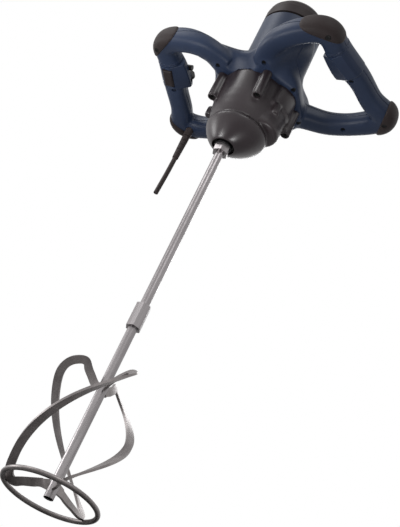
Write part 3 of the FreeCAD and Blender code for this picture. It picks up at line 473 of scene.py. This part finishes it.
def hub_rings():
    outlines = []
    for level, shares, scale in hub_levels:
        half = [(reach * x * scale, 20 + (depth * y - 20) * scale) for x, y in shares]
        whole = half + [(-x, y) for x, y in reversed(half[1:-1])]
        outline = cubic(whole, np.arange(0, len(whole), 0.2), closed=True)
        outlines.append(np.concatenate([outline, np.full((len(outline), 1), floor_mm + height * level)], 1))
    flat = [ring.reshape(-1) for ring in outlines]
    return cubic(flat, np.linspace(0, len(flat) - 1, 26)).reshape(26, -1, 3)


def build_skin():
    """Outer skin of both half shells in one piece."""
    sections = loop_sections(np.arange(0, 15.01, 0.1), grow=0.5, swell_share=0.3)
    solids = [rings([[Vector(p) * MM for p in ring] for ring in shape], "raw")
              for shape in (sections, mirrored(sections), hub_rings())]
    skin = merge(solids, "frame_skin")
    melt(skin, 1.6, 26)
    return skin


case_at = (0.0, 15.0)
lay_at = (29.6269, 19.7835)
motor_at = (0.0, 24.5)
boss_r = 6.9
boss_at = [(side * x, y) for x, y in ((35.3, -26.5), (49.0, 49.5)) for side in (1, -1)]
screw_at = [
    (side * reach * x, depth * y)
    for x, y in ((0.242, -0.45), (0.523, -0.695), (0.95, 0.10), (0.41, 0.07), (0.315, 0.69), (0.70, 0.945))
    for side in (1, -1)]


def block(name, centre, along, size, low, high):
    """Upright box turned to a direction in plan; millimetres."""
    along = Vector((along[0], along[1], 0)).normalized()
    across = Vector((-along.y, along.x, 0))
    ring = []
    for a, b in ((-1, -1), (1, -1), (1, 1), (-1, 1)):
        p = Vector((centre[0], centre[1], 0)) + along * (a * size[0] / 2) + across * (b * size[1] / 2)
        ring.append(p)
    return rings([[(p.x * MM, p.y * MM, z * MM) for p in ring] for z in (low, high)], name)


def boss_web(at, grow):
    """Rib from a screw boss to the middle of the gearbox."""
    inward = Vector((case_at[0] - at[0], case_at[1] - at[1], 0)).normalized()
    length, half_width, low, high = 14.0, 6.5, 614.0, 655.0
    centre = (at[0] + inward.x * length / 2, at[1] + inward.y * length / 2)
    return block("web", centre, inward, (length, 2 * (half_width + grow)), low, high + grow)


def bar(name, radius, start, end, steps=32):
    """Round bar between two points; millimetres."""
    start, end = Vector(start), Vector(end)
    along = (end - start).normalized()
    across = along.orthogonal().normalized()
    other = along.cross(across)
    sections = []
    for place in (start, end):
        sections.append([
            (place + across * (radius * math.cos(a)) + other * (radius * math.sin(a))) * MM
            for a in [2 * math.pi * i / steps for i in range(steps)]])
    return rings(sections, name)


def split_skin(skin):
    """Cuts the skin at the joint of the half shells and opens a fine groove there."""
    groove_depth, groove_half = 0.0005, 0.0002
    halves = []
    for name, keep_low in (("lower_skin", True), ("upper_skin", False)):
        work = bmesh.new()
        work.from_mesh(skin.data)
        cut = bmesh.ops.bisect_plane(
            work, geom=work.verts[:] + work.edges[:] + work.faces[:], dist=1e-7,
            plane_co=(0, 0, split_mm * MM), plane_no=(0, 0, 1),
            clear_outer=keep_low, clear_inner=not keep_low)
        edge = [e for e in cut["geom_cut"] if isinstance(e, bmesh.types.BMEdge)]
        work.normal_update()
        for vert in {v for e in edge for v in e.verts}:
            vert.co -= Vector((vert.normal.x, vert.normal.y, 0)) * groove_depth
            vert.co.z += -groove_half if keep_low else groove_half
        bmesh.ops.triangle_fill(work, edges=edge, use_beauty=True, normal=(0, 0, 1))
        bmesh.ops.recalc_face_normals(work, faces=work.faces)
        mesh = bpy.data.meshes.new(name)
        work.to_mesh(mesh)
        work.free()
        half = bpy.data.objects.new(name, mesh)
        scene.collection.objects.link(half)
        finish_shape(half)
        halves.append(half)
    return halves


def bumper_from(skin, name, point, normal, thick, side):
    """Crowned rubber cap grown from the part of the skin beyond a plane."""
    lip, edge, crown, sunk = 0.5, 0.9, 18.0, 0.4
    facing = Vector((side * normal[0], normal[1], 0.0)).normalized()
    place = Vector((side * point[0], point[1], 0.0)) * MM
    work = bmesh.new()
    work.from_mesh(skin.data)
    bmesh.ops.bisect_plane(work, geom=work.verts[:] + work.edges[:] + work.faces[:], dist=1e-6,
                           plane_co=place, plane_no=facing, clear_inner=True)
    work.normal_update()
    mesh = bpy.data.meshes.new("shell")
    work.to_mesh(mesh)
    work.free()
    count = len(mesh.vertices)
    places = np.zeros(count * 3)
    mesh.vertices.foreach_get("co", places)
    places = places.reshape(-1, 3)
    normals = np.zeros(count * 3)
    mesh.vertices.foreach_get("normal", normals)
    normals = normals.reshape(-1, 3)
    gap = np.maximum(0, (places - np.array(place)) @ np.array(facing)) / MM
    share = np.clip(gap / crown, 0, 1)
    rise = lip + edge * (1 - np.exp(-gap / edge)) + (thick - lip - edge) * np.sqrt(share * (2 - share))
    outer = places + normals * (rise * MM)[:, None]
    inner = places - normals * (sunk * MM)
    shell = [tuple(f.vertices) for f in mesh.polygons]
    bpy.data.meshes.remove(mesh)
    edges = {pair for f in shell for pair in zip(f, f[1:] + f[:1])}
    closed = list(shell) + [tuple(i + count for i in reversed(f)) for f in shell]
    closed += [(b, a, a + count, b + count) for a, b in edges if (b, a) not in edges]
    cap = piece_from(name, np.concatenate([outer, inner]), closed)
    outward(cap)
    return cap


def pad_ring(half, inside, rise):
    """Section of a grip pad: round outside, bevelled to a ridge and a wedge inside."""
    angle = np.radians(np.linspace(90, 200, 16))
    outer = np.stack([power(np.cos(angle), 0.72) * half, power(np.sin(angle), 0.72) * rise], 1)
    ridge = (5.0, -rise - 1.6)
    corners = [
        (-half, -0.4 * rise), (-0.85 * half, -0.72 * rise), (-0.6 * half, -0.95 * rise),
        (-0.1 * half, -rise - 0.5), ridge, (inside - 1.2, -0.47 * rise), (inside, -0.36 * rise),
        (inside, -0.05 * rise), (inside - 2.5, 0.35 * rise), (0.8 * half, 0.95 * rise), (0.5 * half, rise)]
    return np.concatenate([outer, np.array(corners)])


def grip_pad(name, side):
    """Bevelled sleeve on a grip, stepped at its front and rear ends."""
    first, last, count = 5.17, 6.43, 21
    sunk, step, proud = -1.4, 0.75, 1.15
    stations = [first, first + 0.012, first + 0.035] + list(np.linspace(5.3, 6.3, count))
    stations += [last - 0.035, last - 0.012, last]
    grows = [sunk, step, proud] + [proud] * count + [proud, step, sunk]
    rows, _, inward = loop_frame(stations)
    reach_in = np.interp(stations, (first, 5.6, 6.0, 6.25, last), (23.6, 26.4, 28.6, 29.2, 28.6))
    sections = []
    for row, inside, grow, across in zip(rows, reach_in, grows, inward):
        middle = floor_mm + height * (row[2] + row[3]) / 2
        rise = height * (row[3] - row[2]) / 2 + grow
        spots = pad_ring(row[4] * width - 0.65 + grow, inside - proud + grow, rise)
        xy = row[:2] * (reach, depth) + across * spots[:, :1]
        sections.append(np.concatenate([xy, middle + spots[:, 1:]], 1))
    shape = np.stack(sections)
    if side < 0:
        shape = mirrored(shape)
    return rings([[Vector(p) * MM for p in ring] for ring in shape], name)


def grip_band(name, station, side):
    """Low rounded ridge round a grip."""
    profile = ((-0.9, -0.8), (-0.75, 0.1), (-0.35, 0.45), (0.35, 0.45), (0.75, 0.1), (0.9, -0.8))
    spot = loop_sections([station, station + 0.1])
    length = np.linalg.norm(spot[1].mean(0) - spot[0].mean(0)) / 0.1
    shape = np.stack([
        loop_sections([station + s / length], grow=g + 0.4, swell_share=0.3)[0] for s, g in profile])
    if side < 0:
        shape = mirrored(shape)
    count = len(profile)
    around = shape.shape[1]
    verts = (shape * MM).reshape(-1, 3)
    faces = []
    for i in range(count):
        for j in range(around):
            k = (j + 1) % around
            n = (i + 1) % count
            faces.append((i * around + j, i * around + k, n * around + k, n * around + j))
    band = piece_from(name, verts, faces)
    outward(band)
    finish_shape(band, 60)
    return band


# Skin of the frame, its bumpers and the openings in it
relief_at = (-151.2, 91.5)
front_hole, rear_hole, hole_r = (134.4, -67.4), (168.5, 90.0), 3.8
tool_low = 630.0
skin = build_skin()
front_plane = ((115.3, -74.1), (0.594, -0.804))
rear_plane = ((167.2, 81.9), (0.84, 0.538))
bumpers = {}
front_thick, rear_thick = 2.2, 3.8
for name, plane, thick, side in (
        ("front_right", front_plane, front_thick, 1), ("front_left", front_plane, front_thick, -1),
        ("rear_right", rear_plane, rear_thick, 1), ("rear_left", rear_plane, rear_thick, -1)):
    bumpers[name] = bumper_from(skin, name + "_cap", *plane, thick, side)
for name, side in (("front_right", 1), ("front_left", -1)):
    at = (side * front_hole[0], front_hole[1])
    carve(bumpers[name], [drum("hole", hole_r, tool_low, 669, at)])
carve(bumpers["rear_right"], [drum("hole", hole_r, tool_low, 668, rear_hole)])
carve(bumpers["rear_left"], [drum("hole", 6.7, tool_low, 681, relief_at)])
for name, cap in bumpers.items():
    finish_shape(cap, 50)
    dress(cap, "bumper_rubber", "frame", name + "_bumper")

trigger_station, dial_station, lock_station = 5.77, 6.1, 5.62
dial_r, dial_proud = 9.0, 3.2
trigger_in = loop_frame([trigger_station])[2][0] * (-1, 1)
dial_at = left_spot(dial_station, left_reach(dial_station) + dial_proud - dial_r)
button_z = 689.0
lock_ends = [(*left_spot(lock_station, left_reach(lock_station) + out), button_z) for out in (7.0, -9.4)]


def control_tools():
    """Openings of the trigger, speed wheel and lock button."""
    slot_at = left_spot(trigger_station, 0.0, 0.75)
    room = dial_r + 0.6
    return [
        block("slot", slot_at, trigger_in, (15.0, 32.6), tool_low, 690),
        block("dial", dial_at, left_heading(dial_station), (6.2, 2 * room), button_z - room, button_z + room),
        bar("lock", 4.1, *lock_ends)]


seat_z, fit_gap = 655.4, 0.4
tools = [drum("bore", 45.4, tool_low, 740, motor_at, 96)]
tools += [drum("case", 49.7, tool_low, seat_z, case_at, 96), drum("lay", 30.4, tool_low, seat_z, lay_at)]
for at in boss_at:
    tools.append(drum("boss", boss_r, tool_low, seat_z, at))
    tools.append(boss_web(at, fit_gap))
hub_screw_z, arm_screw_z, arm_from = 659, 671, 90
for x, y in screw_at:
    tools.append(drum("screw", 3.5, tool_low, arm_screw_z if abs(x) > arm_from else hub_screw_z, (x, y)))
tools.append(drum("relief", 6.35, tool_low, 690, relief_at))
carve(skin, tools + control_tools())
lower_skin, upper_skin = split_skin(skin)
bpy.data.objects.remove(skin)
dress(lower_skin, "frame_plastic", "frame", "lower_frame_shell")
dress(upper_skin, "frame_plastic", "frame", "upper_frame_shell")
for side, label in ((1, "right"), (-1, "left")):
    pad = grip_pad(label + "_grip_pad", side)
    if side < 0:
        carve(pad, control_tools())
    finish_shape(pad, 22)
    dress(pad, "frame_plastic", "frame")
    for number, station in enumerate((5.03, 5.10)):
        band = grip_band("%s_band_%d" % (label, number + 1), station, side)
        dress(band, "frame_plastic", "frame")

# Gearbox casting with soft cast corners, bored like the solid
case = turned("case", (
    (32.0, 571), (38.0, 572.5), (41.8, 576.5), (44.2, 583), (46.4, 592), (48.6, 605), (49.5, 616),
    (49.6, 655)), case_at)


def nose_dome():
    """Dome that leans from the spindle to the middle of the gearbox."""
    low, high, bend = 536.0, 570.0, 1.25
    lean_x, lean_y, spread = 2.0, 10.5, 27.2
    rows = [(0.0, 14.8, low)]
    for t in (0.0, 0.05, 0.12, 0.22, 0.34, 0.46, 0.58, 0.70, 0.82, 0.92, 1.0):
        swing = (1 - (1 - t) ** bend) ** (1 / bend)
        rows.append((swing, 16.0 + spread * swing, low + 0.5 + (high - low - 0.5) * t))
    rows += [(1.0, 43.0, 573.0), (1.0, 41.0, 576.0), (1.0, 37.0, 579.0), (1.0, 31.0, 581.0)]
    return rings([circle((lean_x * lean, lean_y * lean), r, z, 72) for lean, r, z in rows], "nose")


bulge = turned("bulge", (
    (20.0, 579), (25.0, 580), (27.4, 583), (28.0, 589), (28.0, 615), (30.3, 618.5), (30.3, 655)), lay_at)
lumps = [case, nose_dome(), bulge]
lumps += [drum("boss", boss_r, 607, 655, at) for at in boss_at] + [boss_web(at, 0.0) for at in boss_at]
lumps += [drum("lug", 6.5, 602, 618, (side * 52.0, 4.0)) for side in (1, -1)]
casting = merge(lumps, "gear_casting")
melt(casting, 1.3, 12)
holes = [
    turned("room", ((29.9, 571), (40.8, 581), (45.3, 599), (45.3, 643)), case_at),
    drum("lay_room", 26.0, 592.4, 643.0, lay_at),
    drum("seat", 47.3, 642.9, 665, case_at),
    drum("lay_seat", 28.0, 642.9, 665, lay_at),
    drum("collar", 12.4, 520, 598),
    drum("seal", 16.0, 520, 548),
    drum("bearing", 17.5, 551, 575),
    drum("lay_bearing", 11.0, 585, 644, lay_at)]
holes += [drum("screw", 2.6, 600, 665, at, 24) for at in boss_at]
holes += [drum("sink", 4.9, 600, 614, at) for at in boss_at]
carve(casting, holes)
finish_shape(casting, 40)
dress(casting, "gear_casting", "frame", "gearbox_housing")


# Floor, world and lamps
floor_mesh = bpy.data.meshes.new("floor")
half, floor_z = 3.0, cad_low.z - 0.0005
floor_mesh.from_pydata(
    [(-half, -half, floor_z), (half, -half, floor_z), (half, half, floor_z), (-half, half, floor_z)],
    [], [(0, 1, 2, 3)])
floor = bpy.data.objects.new("floor", floor_mesh)
scene.collection.objects.link(floor)
paper = Nodes("paper_floor")
paper.set(Base_Color=(0.62, 0.62, 0.62, 1.0), Roughness=0.9)
clear = paper.add("ShaderNodeBsdfTransparent").outputs["BSDF"]
rays = paper.add("ShaderNodeLightPath").outputs
side = paper.add("ShaderNodeNewGeometry").outputs["Backfacing"]
both = {0: rays["Is Camera Ray"], 1: side}
from_below = paper.add("ShaderNodeMath", both, operation="MULTIPLY").outputs[0]
choice = paper.add("ShaderNodeMixShader", {0: from_below, 1: paper.shader.outputs["BSDF"], 2: clear})
paper.tree.links.new(choice.outputs["Shader"], paper.tree.nodes["Material Output"].inputs["Surface"])
floor.data.materials.append(paper.material)

world = bpy.data.worlds.new("studio")
scene.world = world
world.use_nodes = True
tree = world.node_tree
tree.nodes.clear()
rays = tree.nodes.new("ShaderNodeLightPath").outputs
glossy = tree.nodes.new("ShaderNodeMath")
shown = tree.nodes.new("ShaderNodeMath")
glossy.operation = shown.operation = "MAXIMUM"
tree.links.new(rays["Is Glossy Ray"], glossy.inputs[0])
tree.links.new(rays["Is Transmission Ray"], glossy.inputs[1])
tree.links.new(rays["Is Camera Ray"], shown.inputs[0])
tree.links.new(glossy.outputs[0], shown.inputs[1])
plain = tree.nodes.new("ShaderNodeBackground")
plain.inputs["Strength"].default_value = 0.2
white = tree.nodes.new("ShaderNodeBackground")
white.inputs["Strength"].default_value = 1.0
for sky in (plain, white):
    sky.inputs["Color"].default_value = (1.0, 1.0, 1.0, 1.0)
mixed = tree.nodes.new("ShaderNodeMixShader")
tree.links.new(shown.outputs[0], mixed.inputs[0])
tree.links.new(plain.outputs[0], mixed.inputs[1])
tree.links.new(white.outputs[0], mixed.inputs[2])
output = tree.nodes.new("ShaderNodeOutputWorld")
tree.links.new(mixed.outputs[0], output.inputs["Surface"])


def lamp(name, place, target, size, power, spread=180.0):
    data = bpy.data.lights.new(name, "AREA")
    data.shape = "RECTANGLE"
    data.size, data.size_y = size
    data.energy = power
    data.spread = math.radians(spread)
    item = bpy.data.objects.new(name, data)
    scene.collection.objects.link(item)
    item.location = place
    item.rotation_euler = (Vector(target) - Vector(place)).to_track_quat("-Z", "Y").to_euler()


lamp("top_right", (0.94, -1.16, 1.90), (0.0, 0.0, 0.6), (0.75, 0.75), 9.0)
lamp("top_left", (-1.06, -1.08, 1.92), (0.0, 0.0, 0.6), (0.75, 0.75), 12.0)
lamp("low_left", (-0.26, -0.76, 0.05), (0.0, 0.0, 0.60), (0.2, 0.2), 0.8, 60.0)
lamp("low_right", (0.42, -0.12, 0.04), (0.0, 0.0, 0.56), (0.12, 0.12), 0.2, 60.0)
lamp("left", (-1.60, -0.80, 0.55), (0.0, 0.0, 0.65), (0.6, 0.6), 12.0)
lamp("behind", (-0.6, 1.4, 1.5), (0.0, 0.0, 0.6), (0.9, 0.6), 10.0)

scene.view_settings.view_transform = "Standard"
